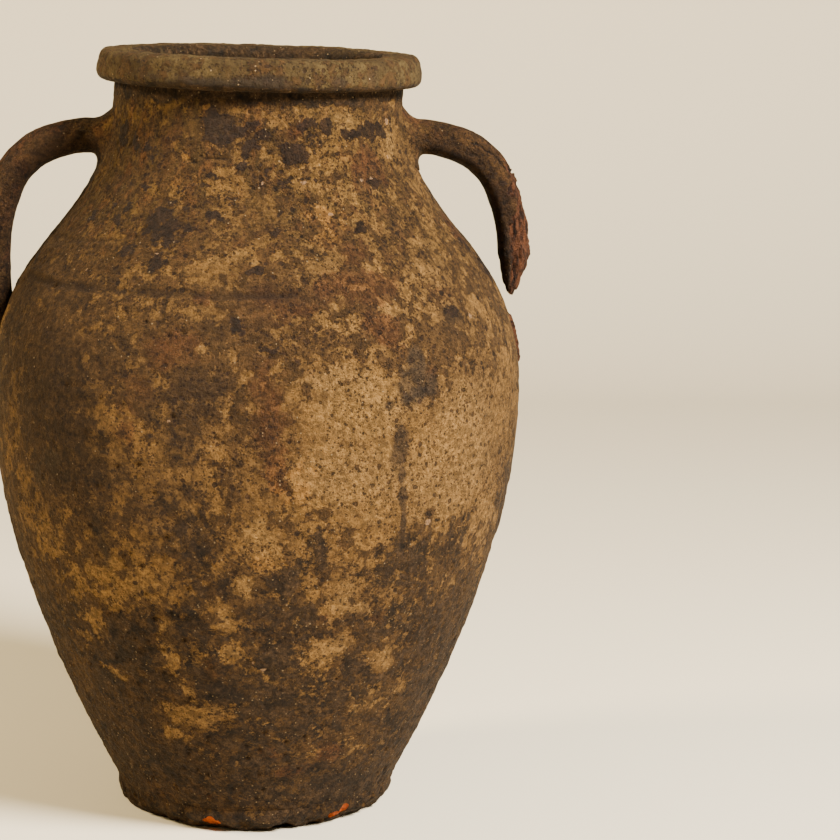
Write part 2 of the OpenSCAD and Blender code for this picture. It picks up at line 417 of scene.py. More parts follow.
# How much of the wall the brown film covers, by height
FILM_HEIGHTS = np.array([0, 60, 130, 200, 260, 330, 390, 440, 500, 560, 600]) * MM
FILM_SHARES = np.array([0.9, 0.78, 0.7, 0.6, 0.45, 0.38, 0.55, 0.56, 0.5, 0.46, 0.5])


def marked(azimuth, z, radius, marks):
    """From 0 far from every mark to 1 at a mark's middle, and half its strength on its outline."""
    total = np.zeros(len(z))
    for at, height, half_width, half_height, strength in marks:
        turn = (azimuth - math.radians(at) + math.pi) % (2 * math.pi) - math.pi
        d = np.hypot(turn * radius / (half_width * MM), (z - height * MM) / (half_height * MM))
        total = np.maximum(total, strength * (1 - smooth_step(0.3, 1.7, d)))
    return total


def polyline_distance(azimuth, z, radius, line):
    """Distance in metres along the wall to a line of (azimuth, height) points."""
    nearest = np.full(len(z), 1.0)
    for (a0, h0), (a1, h1) in zip(line[:-1], line[1:]):
        x = (azimuth - math.radians(a0)) * radius
        y = z - h0 * MM
        run_x = math.radians(a1 - a0) * radius
        run_y = (h1 - h0) * MM
        t = np.clip((x * run_x + y * run_y) / (run_x**2 + run_y**2), 0, 1)
        nearest = np.minimum(nearest, np.hypot(x - t * run_x, y - t * run_y))
    return nearest


# Lines on the clay, each as points of azimuth and height: three grooves, then three cracks
LINES = (
    [(-76, 431), (-60, 431), (-45, 432), (-30, 433), (-22, 434), (-10, 433), (0, 434), (9, 435)],
    [(-22.3, 434), (-21.8, 428), (-21.5, 416)],
    [(-72, 461), (-55, 462), (-42, 466), (-37, 471), (-33, 479)],
    [(-22.5, 529.5), (-20, 527.5), (-17, 527), (-14, 527.5), (-10, 526)],
    [(-26, 525.5), (-22.5, 523.5)],
    [(50.5, 388), (49.8, 382), (51, 377), (53.5, 375)],
)


def angles(p):
    """Azimuth, height and radius of each point."""
    return np.arctan2(p[:, 0], -p[:, 1]), p[:, 2], np.maximum(np.hypot(p[:, 0], p[:, 1]), 1e-6)


def body_masks(p):
    """Where each stain, crust and patch lies on the body, from 0 to 1, with painted shade added under the rim
    and, in part, on the left side.
    """
    azimuth, z, radius = angles(p)
    drift = 9 * MM * fractal(p, 24 * MM, 61, 5, 0.65)
    lift = 9 * MM * fractal(p, 24 * MM, 67, 5, 0.65)
    masks = {}
    for name, marks in MARKS.items():
        share = 0.25 if name in CALM_SETS else 1.0
        masks[name] = marked(azimuth + share * drift / radius, z + share * lift, radius, marks)
    low = 1 - smooth_step(170 * MM, 280 * MM, z + 40 * MM * fractal(p, 60 * MM, 41, 3))
    masks["crust"] = np.clip(np.maximum(masks["crust"], 0.5 * low) - 0.5 * masks["ochre"], 0, 1.2)
    # The left side, away from the key lamp, gets more film and an olive tinge: partly the clay's own darker
    # colour, partly painted shade.
    left = smooth_step(0.1, 0.9, -np.sin(azimuth))
    high = smooth_step(420 * MM, 470 * MM, z)
    masks["olive"] = np.clip(left * 0.8 + 0.35 * high + 0.25 * fractal(p, 70 * MM, 71, 3), 0, 1)
    streak = np.clip(0.55 + 0.4 * left + 0.3 * fractal(p, 40 * MM, 77, 2), 0, 1)
    masks["streak"] = smooth_step(430 * MM, 500 * MM, z) * streak
    # A dark band just under the rim, partly soot and partly painted shade where the rim overhangs: more film
    # here, and crust.
    soot_and_shade_under_rim = smooth_step(561 * MM, 574 * MM, z + 6 * MM * fractal(p, 14 * MM, 47, 3))
    film = np.interp(z, FILM_HEIGHTS, FILM_SHARES) + 0.13 * left + 0.22 * fractal(p, 48 * MM, 43, 3)
    film += 0.2 * masks["red"] + 0.15 * masks["stain_and_shade"] + 0.3 * soot_and_shade_under_rim - 0.42 * masks["ochre"]
    masks["film"] = np.clip(film, 0, 1)
    masks["crust"] = np.maximum(masks["crust"], 0.95 * soot_and_shade_under_rim)
    masks["speck"] = np.clip(0.5 + 0.2 * high + 0.5 * fractal(p, 40 * MM, 73, 3), 0, 1)
    incised, down, faint, *cracks = [polyline_distance(azimuth, z, radius, line) for line in LINES]
    groove = 0.7 - 0.7 * smooth_step(1 * MM, 3.5 * MM, down)
    groove = np.maximum(groove, 1 - smooth_step(1 * MM, 3.6 * MM, incised))
    masks["groove"] = np.maximum(groove, 0.5 - 0.5 * smooth_step(0.4 * MM, 1.8 * MM, faint))
    crack = np.min(cracks, 0) + 0.6 * MM * np.abs(fractal(p, 5 * MM, 79, 2))
    masks["crack"] = 1 - smooth_step(0.3 * MM, 1.6 * MM, crack)
    return masks


def throwing_rings(p):
    """Low rings left by the potter's fingers."""
    squeezed = p * np.array([0.15, 0.15, 1.0])
    return 0.30 * MM * noise(squeezed, 9 * MM, 3) + 0.18 * MM * noise(squeezed, 4 * MM, 5)


def clay_relief(p, masks):
    """Height of the weathered surface above the smooth wall."""
    lumps = 0.7 * MM * fractal(p, 60 * MM, 11, 3) + 0.35 * MM * fractal(p, 14 * MM, 23, 3)
    rough = 0.5 + 1.2 * masks["crust"]
    grain = rough * (0.32 * MM * fractal(p, 6 * MM, 31, 2))
    raised = 0.35 * MM * smooth_step(0.4, 0.6, masks["soot"] + 0.25 * fractal(p, 6 * MM, 37, 2))
    flakes = 0.4 * MM * smooth_step(-0.1, 0.25, fractal(p, 9 * MM, 83, 3) + masks["crust"] - 0.5)
    chips = smooth_step(0.3, 0.7, masks["fresh"])
    cut = 1.1 * MM * masks["groove"] + 1.6 * MM * masks["crack"] + 1.5 * MM * chips
    return lumps + grain + raised + flakes * (masks["crust"] > 0.05) + throwing_rings(p) - cut


def scatter_pits(count):
    """Places, sizes and depths of the small pits all over the outside: azimuth, height, radius, depth."""
    random = np.random.default_rng(7)
    height = random.uniform(5 * MM, 575 * MM, count)
    radius = (0.9 + 2.4 * random.random(count) ** 4) * MM
    depth = radius * random.uniform(0.25, 0.55, count)
    return np.stack([random.uniform(-math.pi, math.pi, count), height, radius, depth], 1)


PITS = scatter_pits(5200)


def pit_field(line):
    """Depth of the pits, and how far into one each point lies, on a grid turned from a line."""
    rows = len(line)
    depth = np.zeros((rows, COLUMNS))
    inside = np.zeros((rows, COLUMNS))
    step = 2 * math.pi / COLUMNS
    for azimuth, height, size, deep in PITS:
        near_rows = np.nonzero(np.abs(line[:, 1] - height) < size)[0]
        if len(near_rows) == 0:
            continue
        around = float(outer_radius(height))
        reach = int(size / around / step) + 1
        centre = int(round(azimuth / step))
        columns = np.arange(centre - reach, centre + reach + 1)
        across = (columns * step - azimuth) * around
        d = np.hypot((line[near_rows, 1] - height)[:, None] * 1.15, across[None, :]) / size
        bowl = 1 - smooth_step(0.2, 1.0, d)
        spot = np.ix_(near_rows, columns % COLUMNS)
        depth[spot] = np.maximum(depth[spot], bowl * deep)
        inside[spot] = np.maximum(inside[spot], bowl)
    return depth.ravel(), inside.ravel()


# ---- Body pieces ----


# How far in the foot's edge is worn, for azimuths from the far side round to the far side
FOOT_TURNS = [-180, -110, -90, -67, -50, 0, 48, 60, 75, 90, 110, 180]
FOOT_WORN = np.array([6, 3, 0.5, 4, 8.5, 10.5, 12, 10, 7, 6, 4, 6]) * MM


def foot_wear(p):
    """How far the foot's edge is worn in: rounded all round, chipped, and notched in front."""
    azimuth, z, radius = angles(p)
    ragged = z + 2.5 * MM * fractal(p, 10 * MM, 163, 3)
    worn = np.interp(np.degrees(azimuth), FOOT_TURNS, FOOT_WORN) + 1.5 * MM * fractal(p, 28 * MM, 161, 3)
    worn *= 1 - smooth_step(-2 * MM, 13 * MM, ragged)
    notch_at = np.hypot((azimuth - 0.2) * radius / (12 * MM), z / (7 * MM))
    chips = 2.2 * MM * smooth_step(0.15, 0.5, fractal(p, 13 * MM, 167, 2))
    chips *= 1 - smooth_step(10 * MM, 24 * MM, z)
    notch = 5 * MM * (1 - smooth_step(0.6, 1.1, notch_at))
    return (worn + notch + chips) * smooth_step(95 * MM, 104 * MM, radius)


def clothe(line, normals, weight, outside_rows):
    """Points, weathered and warped, and masks of a line turned about the axis."""
    p = revolve(line)
    masks = body_masks(p)
    height = clay_relief(p, masks) * np.repeat(weight, COLUMNS)
    pits = np.zeros(len(p))
    inside = np.zeros(len(p))
    shown = outside_rows * COLUMNS
    pits[:shown], inside[:shown] = pit_field(line[:outside_rows])
    height -= pits * np.repeat(weight, COLUMNS)
    masks["pit"] = inside
    p = p + revolve(normals) * height[:, None]
    worn = foot_wear(p) / np.maximum(np.hypot(p[:, 0], p[:, 1]), 1e-6)
    p[:, :2] -= p[:, :2] * worn[:, None]
    return warp(p), masks


def ring_piece(name, outer, outer_weight, inner):
    """A closed ring: outer line up, inner line down, joined by flat joint faces top and bottom."""
    rows_out = len(outer)
    line = np.concatenate([outer[:, :2], inner[::-1, :2]])
    normals = np.concatenate([outer[:, 2:4], inner[::-1, 2:4]])
    weight = np.concatenate([outer_weight, np.full(len(inner), 0.3)])
    points, masks = clothe(line, normals, weight, rows_out)
    for mark in ("soot", "pale", "fresh", "groove", "crack", "ochre", "orange", "deep", "grey", "drip"):
        masks[mark][rows_out * COLUMNS:] *= 0.15
    piece = make_mesh(name, points, [grid_faces(len(line), COLUMNS, wrap_rows=True)])
    smooth_across(piece, {0: wall_normals(outer[0]), rows_out - 1: wall_normals(outer[-1])})
    put_masks(piece, masks)
    return piece


def wall_normals(row):
    """Normals of the weathered wall along one level, from the wall just below and above it."""
    reach = 0.5 * ROW_STEP
    tangent = np.array([-row[3], row[2]])
    lines = row[:2] + tangent * np.array([[-reach], [0], [reach]])
    levels, _ = clothe(lines, np.repeat(row[None, 2:4], 3, 0), np.ones(3), 3)
    levels = levels.reshape(3, COLUMNS, 3)
    up = levels[2] - levels[0]
    round_it = np.roll(levels[1], -1, 0) - np.roll(levels[1], 1, 0)
    normals = np.cross(round_it, up)
    return normals / np.linalg.norm(normals, axis=1)[:, None]


def stage_lines(low, high):
    """The outside and inside lines of one thrown stage, with normals."""
    outer = wall_line(low, high, OUTER, ROW_STEP)
    inner = wall_line(low, high, INNER, INNER_STEP)
    normals = [np.interp(outer[:, 1], OUTER[:, 1], OUTER_NORMAL[:, k]) for k in (0, 1)]
    outer = np.column_stack([outer, *normals])
    inner = np.column_stack([inner, -np.ones(len(inner)), np.zeros(len(inner))])
    return outer, inner


def stage_piece(node, low, high):
    outer, inner = stage_lines(low, high)
    return ring_piece(node + "_clay", outer, np.ones(len(outer)), inner)


def neck_piece():
    outer, inner = stage_lines(JOINT_NECK, JOINT_RIM)
    inner[:, 0] = MOUTH_R
    weight = 1 - smooth_step(JOINT_RIM - 5 * MM, JOINT_RIM, outer[:, 1])
    return ring_piece("neck_clay", outer, weight, inner)


RIM_STAIN = [
    (-22, 581, 30, 6, 0.8), (0, 582, 26, 7, 0.9), (-40, 583, 14, 6, 0.5), (28, 584, 8, 6, 0.6),
    (10, 578, 30, 3, 0.8),
]
RIM_PALE = [(42, 586, 9, 8, 0.45)]


def rim_masks(outer, masks):
    """The rim is cleaner and greyer than the wall, with a blue-black smear under its front, and painted shade
    down its bore.
    """
    p = revolve(outer[:, :2])
    azimuth, z, radius = angles(p)
    drift = 3 * MM * fractal(p, 12 * MM, 91, 3)
    outside = radius > 110 * MM
    for name in ("soot", "red", "orange", "grey", "ochre"):
        masks[name] *= 0.35
    masks["stain_and_shade"] = np.clip(0.25 + 0.3 * fractal(p, 30 * MM, 93, 3), 0, 1)
    masks["deep"] = outside * marked(azimuth + drift / radius, z + drift, radius, RIM_STAIN)
    masks["grey"] = outside * marked(azimuth, z, radius, RIM_PALE)
    masks["stain_and_shade"] = np.maximum(masks["stain_and_shade"], masks["deep"])
    masks["streak"] *= 0.2
    masks["red"] *= 0.4
    # Painted shade down the bore: heavy stain and crust darken the inside of the mouth, which lies in shade;
    # the red chips there are the clay's own.
    inside = radius < 100 * MM
    masks["red"] = np.where(inside, np.clip(0.1 + 0.7 * fractal(p, 14 * MM, 97, 3), 0, 1), masks["red"])
    masks["crust"] = np.where(inside, 0.55, masks["crust"] * (1 - smooth_step(578 * MM, 583 * MM, z)))
    masks["stain_and_shade"] = np.where(inside, 0.9, masks["stain_and_shade"])
    masks["olive"] = np.clip(0.8 + 0.2 * masks["olive"], 0, 1)
    masks["speck"] *= 0.6
    masks["film"] = 0.2 + 0.3 * masks["film"]


def rim_piece():
    """The rolled rim: under, round and over, then down the bore."""
    line = np.concatenate([
        [[NECK_R, JOINT_RIM]],
        arc([RIM_R - RIM_EDGE, JOINT_RIM + RIM_EDGE + 0.5 * MM], RIM_EDGE, -85, 0),
        arc([RIM_R - RIM_TAPER - RIM_EDGE, JAR_TOP - RIM_EDGE], RIM_EDGE, 0, 90),
        arc([MOUTH_R + RIM_EDGE, JAR_TOP - RIM_EDGE], RIM_EDGE, 90, 180),
        [[MOUTH_R, JOINT_RIM]],
    ])
    line = resample(line, 1.3 * MM)
    outer = np.column_stack([line, line_normals(line)])
    weight = np.ones(len(outer))
    weight[:3] = [0, 0.4, 0.8]
    weight[-3:] = [0.4, 0.4, 0.4]
    rows = len(outer)
    points, masks = clothe(outer[:, :2], outer[:, 2:4], 0.7 * weight, 0)
    rim_masks(outer, masks)
    faces = grid_faces(rows, COLUMNS, wrap_rows=True)
    piece = make_mesh("rim_clay", points, [faces], flat_from=(rows - 1) * COLUMNS)
    put_masks(piece, masks)
    return piece


def base_piece():
    """The foot slab: a disc with a worn round edge, whose top is the jar's floor."""
    edge = 3 * MM
    line = np.concatenate([
        [[4 * MM, 0], [30 * MM, 0], [70 * MM, 0]],
        resample(np.array([[85 * MM, 0], [FOOT_R - edge, 0]]), 3 * MM),
        resample(np.concatenate([
            arc([FOOT_R - edge, edge], edge, -90, 0),
            [[WALL_FOOT_R, 0.6 * JOINT_BASE], [WALL_FOOT_R, JOINT_BASE]],
        ]), 1.0 * MM)[1:],
        [[FLOOR_R, JOINT_BASE], [50 * MM, JOINT_BASE], [4 * MM, JOINT_BASE]],
    ])
    rows = len(line)
    normals = line_normals(line)
    side = smooth_step(0.5 * MM, 4 * MM, line[:, 1]) * (np.abs(normals[:, 0]) > 0.2)
    points, masks = clothe(line, normals, side, 0)
    centres = np.array([[0, 0, 0], [0, 0, JOINT_BASE]])
    piece = make_mesh("base_clay", np.concatenate([points, centres]), capped_faces(rows, COLUMNS))
    put_masks(piece, masks)
    return piece


# ---- Handles ----


HANDLE_T = 27 * MM
HANDLE_W = 38 * MM
BEND_CURVE = np.array([[NECK_R - 8 * MM, 0.532], [0.173, 0.5405], [0.203, 0.509], [0.2050, 0.436]])
FALL_CURVE = np.array([[0.2050, 0.436], [0.205, 0.410], [0.203, 0.385], [0.195, 0.350]])
HANDLE_SIDES = 128
HANDLE_STEP = 1.2 * MM


def sweep(path, outer, inner, wide):
    """Points, outward normals and angles of a strap, flatter inside, swept along a path in the X-Z plane.

    The angle is 0 on the outside of the bend, 90 degrees at the back and -90 degrees at the front.
    """
    run = np.gradient(path, axis=0)
    run /= np.linalg.norm(run, axis=1)[:, None]
    out = np.stack([-run[:, 1], run[:, 0]], 1)
    a = np.linspace(-math.pi, math.pi, HANDLE_SIDES, endpoint=False)[None, :]
    thick = np.where(np.cos(a) > 0, outer[:, None], inner[:, None])
    flat = 1 - 0.35 * smooth_step(118 * MM, 150 * MM, path[:, 0:1])
    reach = np.where(np.cos(a) > 0, thick * np.cos(a), -thick * np.abs(np.cos(a)) ** flat)
    x = path[:, 0:1] + out[:, 0:1] * reach
    z = path[:, 1:2] + out[:, 1:2] * reach
    y = wide[:, None] * np.sin(a)
    push = np.cos(a) / thick
    aside = np.sin(a) / wide[:, None]
    normal = np.stack([out[:, 0:1] * push, aside, out[:, 1:2] * push], 2)
    normal /= np.linalg.norm(normal, axis=2)[:, :, None]
    return np.stack([x, y, z], 2), normal, np.repeat(a, len(path), 0)


def capped_tube(name, grid):
    """A closed mesh of a grid of rings, its two ends closed by fans."""
    points = np.concatenate([grid.reshape(-1, 3), grid[0].mean(0)[None], grid[-1].mean(0)[None]])
    return make_mesh(name, points, capped_faces(*grid.shape[:2], inside_out=True))


def handle_relief(p, masks):
    """Finger-smoothed clay with lumps and small holes."""
    lumps = 0.5 * MM * fractal(p, 22 * MM, 111, 3) + 0.22 * MM * fractal(p, 5 * MM, 113, 2)
    holes = smooth_step(0.45, 0.8, noise(p, 3.6 * MM, 117)) * smooth_step(-0.2, 0.4, noise(p, 20 * MM, 119))
    masks["pit"] = holes
    return lumps - 0.7 * MM * holes


def handle_masks(p):
    """Handles are redder than the wall, and blotched with brown."""
    names = list(FEATURE_SETS) + ["groove", "crack"]
    masks = {name: np.zeros(len(p)) for name in names}
    masks["film"] = np.clip(0.5 + 0.4 * fractal(p, 30 * MM, 133, 3), 0, 1)
    masks["red"] = np.clip(0.3 + 0.5 * fractal(p, 26 * MM, 121, 3), 0, 1)
    masks["stain_and_shade"] = np.clip(0.35 + 0.5 * fractal(p, 30 * MM, 123, 3), 0, 1)
    masks["soot"] = np.clip(0.05 + 0.5 * fractal(p, 12 * MM, 127, 3), 0, 1)
    masks["olive"] = np.clip(0.4 - 0.6 * fractal(p, 30 * MM, 129, 2), 0, 1)
    masks["speck"] = np.clip(0.5 + 0.5 * fractal(p, 20 * MM, 131, 2), 0, 1)
    root = 1 - smooth_step(118 * MM, 150 * MM, np.abs(p[:, 0]) + 8 * MM * fractal(p, 20 * MM, 171, 3))
    root *= p[:, 2] > 0.47
    for name, values in body_masks(p).items():
        masks[name] = values * root + masks.get(name, 0) * (1 - root)
    masks["root"] = root
    masks["torn"] = np.zeros(len(p))
    return masks


def root_flare(path):
    """How much wider a handle is near the neck, where it was smeared on: upwards, downwards and sideways."""
    return 1.3 * fillet(path, 16 * MM), fillet(path, 12 * MM), fillet(path, 20 * MM)


def fillet(path, radius):
    """A round fillet at the neck, as extra width for each point of a path."""
    d = np.clip((path[:, 0] - NECK_R) / radius, 0, 1)
    return radius * (1 - np.sqrt(np.maximum(1 - (1 - d) ** 2, 0)))


def hug_neck(grid, side):
    """Bends a handle's root to the leaning neck's round, so that it meets the wall without a gap."""
    x, y, z = grid[:, :, 0], grid[:, :, 1], grid[:, :, 2]
    share = 1 - smooth_step(0, 1, (x - NECK_R) / (36 * MM))
    wall = np.sqrt(np.maximum(outer_radius(z) ** 2 - y**2, 0))
    lean = side * np.interp(z, SHIFT_HEIGHTS, SHIFTS)
    grid[:, :, 0] += (wall + lean - 1.5 * MM - NECK_R) * share * (z > 0.47)


def strap(path, outer, inner, wide, side):
    """A handle's grid of points, widened and fitted to the neck at its root, its normals, and its angles."""
    up, down, aside = root_flare(path)
    grid, normal, angle = sweep(path, outer + up, inner + down, wide + aside)
    hug_neck(grid, side)
    return grid, normal, angle.ravel()


def left_handle_piece():
    """The whole handle, from the neck over and down on to the belly."""
    path = resample(np.concatenate([bezier(BEND_CURVE, T), bezier(FALL_CURVE, T[1:])]), HANDLE_STEP)
    half = np.full(len(path), HANDLE_T / 2)
    wide = HANDLE_W / 2 + 3 * MM * (1 - smooth_step(0.352, 0.43, path[:, 1]))
    grid, normal, a = strap(path, half, half, wide, -1)
    p = grid.reshape(-1, 3)
    masks = handle_masks(p * np.array([-1, 1, 1]))
    # Painted shade on the inner side that faces the jar, carried by the stain mask.
    masks["stain_and_shade"] = np.maximum(masks["stain_and_shade"], 0.6 * shaded_inside(a))
    height = handle_relief(p, masks).reshape(grid.shape[:2])
    grid += normal * height[:, :, None]
    grid[:, :, 0] *= -1
    piece = capped_tube("left_handle_clay", grid)
    put_masks(piece, masks)
    return piece


# Distance of the broken handle's outside and inside from its middle line, near the break, by height
BREAK_HEIGHTS = np.array([410, 412, 415, 425, 433, 441]) * MM
BREAK_OUTER = np.array([3, 4.5, 6.5, 9.5, 12.5, 14.5]) * MM
BREAK_INNER = np.array([3, 5.5, 7.5, 9.5, 11.5, 13.5]) * MM
BREAK_WIDE = np.array([6, 8, 10, 13, 16, 19]) * MM
BREAK_TIP = 0.409
TEAR_TOP = 0.505


def right_handle_piece():
    """The broken handle: its outer front face torn away, and its end a jagged wedge of bare clay."""
    bend = bezier(BEND_CURVE, T)
    tip = np.array([[0.2040, 0.428], [0.2034, 0.418], [0.2030, BREAK_TIP]])
    path = resample(np.concatenate([bend, tip]), HANDLE_STEP)
    z = path[:, 1]
    falling = path[:, 0] > 0.19
    sides = (BREAK_OUTER, HANDLE_T / 2), (BREAK_INNER, HANDLE_T / 2), (BREAK_WIDE, HANDLE_W / 2)
    halves = [np.where(falling, np.interp(z, BREAK_HEIGHTS, worn), whole) for worn, whole in sides]
    grid, normal, a = strap(path, *halves, 1)
    p = grid.reshape(-1, 3)
    masks = handle_masks(p)
    # Painted shade on the inner side that faces the jar, carried by the stain mask.
    masks["stain_and_shade"] = np.maximum(masks["stain_and_shade"], 1.1 * shaded_inside(a) * (1 - masks["root"]))
    height = handle_relief(p, masks)
    torn = tear_share(p, a, np.repeat(z, HANDLE_SIDES))
    stretched = p * np.array([1, 1, 0.35])
    splinter = 2.4 * MM * ridged(stretched, 6 * MM, 133) + 0.9 * MM * ridged(p, 3.2 * MM, 137)
    near_tip = 1 - smooth_step(BREAK_TIP, 0.430, np.repeat(z, HANDLE_SIDES))
    height = height * (1 - torn) - torn * (1.0 * MM * (1 - 0.7 * near_tip) + splinter * (1 - 0.5 * near_tip))
    cut = tear_crack(p, a)
    height -= 1.3 * MM * cut
    masks["torn"] = torn
    # Painted shade: a dark line along the edge of the torn face, carried by the crack mask together with the
    # real crack.
    masks["crack"] = np.maximum(cut, 3.2 * torn * (1 - torn))
    grid += normal * height.reshape(grid.shape[:2])[:, :, None]
    jagged = near_tip * 8 * MM * (ridged(p * np.array([1, 1, 0.2]), 8 * MM, 141) - 0.6)
    grid[:, :, 2] += jagged.reshape(grid.shape[:2])
    piece = capped_tube("right_handle_clay", grid)
    put_masks(piece, {name: np.append(values, values[-1:].repeat(2)) for name, values in masks.items()})
    return piece


def shaded_inside(a):
    """Where painted shade darkens the side of a handle that faces the jar."""
    return smooth_step(1.2, 1.65, np.abs(a))


def ridged(p, size, seed):
    """Noise from 0 to 1 with sharp crests."""
    return 1 - np.abs(fractal(p, size, seed, 3))


def tear_share(p, a, level):
    """Where the right handle's skin has come off, from 0 to 1 with a ragged edge."""
    ragged = 0.28 * fractal(p, 9 * MM, 143, 3)
    down = (TEAR_TOP - level) / (45 * MM) + ragged
    reach = 0.5 + 1.25 * smooth_step(0.0, 0.8, down)
    side = reach - np.abs(a + 0.15) + ragged
    front = smooth_step(-0.03, 0.05, np.minimum(down, side)) * (p[:, 0] > 0.17)
    end = 1 - smooth_step(0.412, 0.418, level + 5 * MM * fractal(p, 6 * MM, 147, 2))
    return np.maximum(front, end * (p[:, 0] > 0.17))


def tear_crack(p, a):
    """A crack that runs up the handle from the torn face."""
    along = np.clip((p[:, 2] - 0.500) / 0.030, 0, 1)
    wander = a + 0.55 + 0.5 * along + 0.15 * fractal(p, 8 * MM, 149, 3)
    band = 1 - smooth_step(0.02, 0.09, np.abs(wander))
    return band * (p[:, 0] > 0.165) * (p[:, 2] > 0.497) * (p[:, 2] < 0.531)


SCAR_MIDDLE = 0.375
SCAR_LENGTH = 46 * MM
SCAR_WIDTH = 34 * MM
SCAR_PROUD = 3.2 * MM


def scar_piece():
    """The rough patch on the belly where the right handle's lower end broke away."""
    count_up, count_round = 56, 44
    v, u = np.meshgrid(np.linspace(-1, 1, count_up), np.linspace(-1, 1, count_round), indexing="ij")
    z = SCAR_MIDDLE + v * SCAR_LENGTH / 2
    radius = outer_radius(z)
    a = math.pi / 2 + u * SCAR_WIDTH / 2 / BELLY_R
    flat = np.stack([radius * np.sin(a), -radius * np.cos(a), z], 2)
    p = flat.reshape(-1, 3)
    edge = np.hypot(u, v).ravel() + 0.16 * fractal(p, 9 * MM, 151, 3)
    mound = 1 - smooth_step(0.72, 0.98, edge)
    lip = smooth_step(0.35, 0.7, edge) * mound
    rough = 1.1 * MM * ridged(p, 7 * MM, 153) + 0.5 * MM * fractal(p, 2.5 * MM, 157, 2)
    height = -1.5 * MM + mound * (1.6 * MM + rough * 0.9 + 1.2 * MM * lip)
    height = np.minimum(height, SCAR_PROUD)
    away = np.stack([np.sin(a), -np.cos(a), np.zeros_like(a)], 2).reshape(-1, 3)
    front = warp(p + away * height[:, None])
    back = warp(p - away * 4 * MM)
    points = np.concatenate([front, back])
    at = np.arange(count_up * count_round).reshape(count_up, count_round)
    skin = quads(at)
    loop = np.concatenate([at[0], at[1:, -1], at[-1, -2::-1], at[-2:0:-1, 0]])
    ahead = np.roll(loop, -1)
    wall = np.stack([loop, loop + at.size, ahead + at.size, ahead], 1)
    piece = make_mesh("right_scar_clay", points, [skin, skin[:, ::-1] + at.size, wall])
    masks = handle_masks(points)
    masks["torn"] = np.ones(len(points))
    put_masks(piece, masks)
    return piece


# ---- Materials ----


class Nodes:
    """Short names for making a material's nodes and joining them."""

    def __init__(self, name):
        self.material = bpy.data.materials.new(name)
        self.material.use_nodes = True
        self.tree = self.material.node_tree
        self.tree.nodes.clear()

    def add(self, kind, sockets=(), **settings):
        """A node with its settings made and its sockets, by name or number, set or joined."""
        node = self.tree.nodes.new(kind)
        for key, value in settings.items():
            setattr(node, key, value)
        for key, value in dict(sockets).items():
            if isinstance(value, bpy.types.NodeSocket):
                self.tree.links.new(value, node.inputs[key])
            elif value is not None:
                node.inputs[key].default_value = value
        return node

    def finish(self, sockets):
        """The shader, and its joint to the material's output."""
        shader = self.add("ShaderNodeBsdfPrincipled", sockets).outputs[0]
        self.add("ShaderNodeOutputMaterial", {"Surface": shader})

    def math(self, operation, a, b=None, c=None):
        return self.add("ShaderNodeMath", {0: a, 1: b, 2: c}, operation=operation).outputs[0]

    def times(self, a, b):
        return self.math("MULTIPLY", a, b)

    def vector(self, operation, a, b):
        return self.add("ShaderNodeVectorMath", {0: a, 1: b}, operation=operation).outputs[0]

    def ramp(self, value, low, high, to_low=0.0, to_high=1.0):
        """A smooth step from to_low to to_high as value goes from low to high."""
        sockets = {"Value": value, "From Min": low, "From Max": high, "To Min": to_low, "To Max": to_high}
        return self.add("ShaderNodeMapRange", sockets, interpolation_type="SMOOTHSTEP").outputs[0]

    def mix(self, share, a, b, blend="MIX"):
        sockets = {"Factor": share, 6: a, 7: b}
        return self.add("ShaderNodeMix", sockets, data_type="RGBA", blend_type=blend).outputs[2]

    def noise(self, where, size, detail, roughness):
        sockets = {"Vector": where, "Scale": 1 / size, "Detail": detail, "Roughness": roughness}
        return self.add("ShaderNodeTexNoise", sockets).outputs["Fac"]

    def mask(self, name):
        return self.add("ShaderNodeAttribute", attribute_name=name).outputs["Fac"]


def colour(r, g, b):
    """A colour from its 0 to 255 screen values, as the shader wants it."""
    linear = [(v / 255 / 12.92) if v <= 10 else ((v / 255 + 0.055) / 1.055) ** 2.4 for v in (r, g, b)]
    return (*linear, 1.0)


WALL_LIGHT = colour(117, 85, 43)
WALL_DARK = colour(96, 69, 35)


def edged(n, mask, breakup, low, high, spread):
    """A mask with a crisp edge that the breakup noise makes ragged."""
    shifted = n.math("MULTIPLY_ADD", n.math("SUBTRACT", breakup, 0.5), spread, mask)
    return n.ramp(shifted, low, high)


def laid(n, base, name, share, tint, breakup, low, high, spread):
    """The base under a ragged layer of tint, where a mask is."""
    return n.mix(n.times(edged(n, n.mask(name), breakup, low, high, spread), share), base, tint)


def tinted(n, base, name, share, tint, blend="MIX"):
    """The base with a tint in proportion to a mask."""
    return n.mix(n.times(n.mask(name), share), base, tint, blend)


def flakes(n, coverage, grain, width=0.02):
    """Lacy fragments that cover the given share of the surface; grain is a noise about 0.5."""
    return n.ramp(n.math("MULTIPLY_ADD", coverage, 0.42, grain), 0.71 - width, 0.71 + width)


def speckle(n, where, size, density, largest):
    """Small round specks in a share of cells, each of its own size."""
    cells = n.add("ShaderNodeTexVoronoi", {"Vector": where, "Scale": 1 / size}).outputs
    random = n.add("ShaderNodeSeparateColor", {0: cells["Color"]}).outputs
    present = n.math("LESS_THAN", random[0], density)
    reach = n.times(random[1], largest)
    return n.times(present, n.ramp(n.math("SUBTRACT", reach, cells["Distance"]), 0.0, 0.08))


def jostled(n, where, size, detail, reach):
    """The place, pushed about by up to half the reach, so that what is drawn there comes out ragged."""
    push = n.add("ShaderNodeTexNoise", {"Vector": where, "Scale": 1 / size, "Detail": detail}).outputs
    centred = n.vector("SUBTRACT", push["Color"], (0.5, 0.5, 0.5))
    return n.vector("ADD", where, n.vector("MULTIPLY", centred, (reach, reach, reach)))


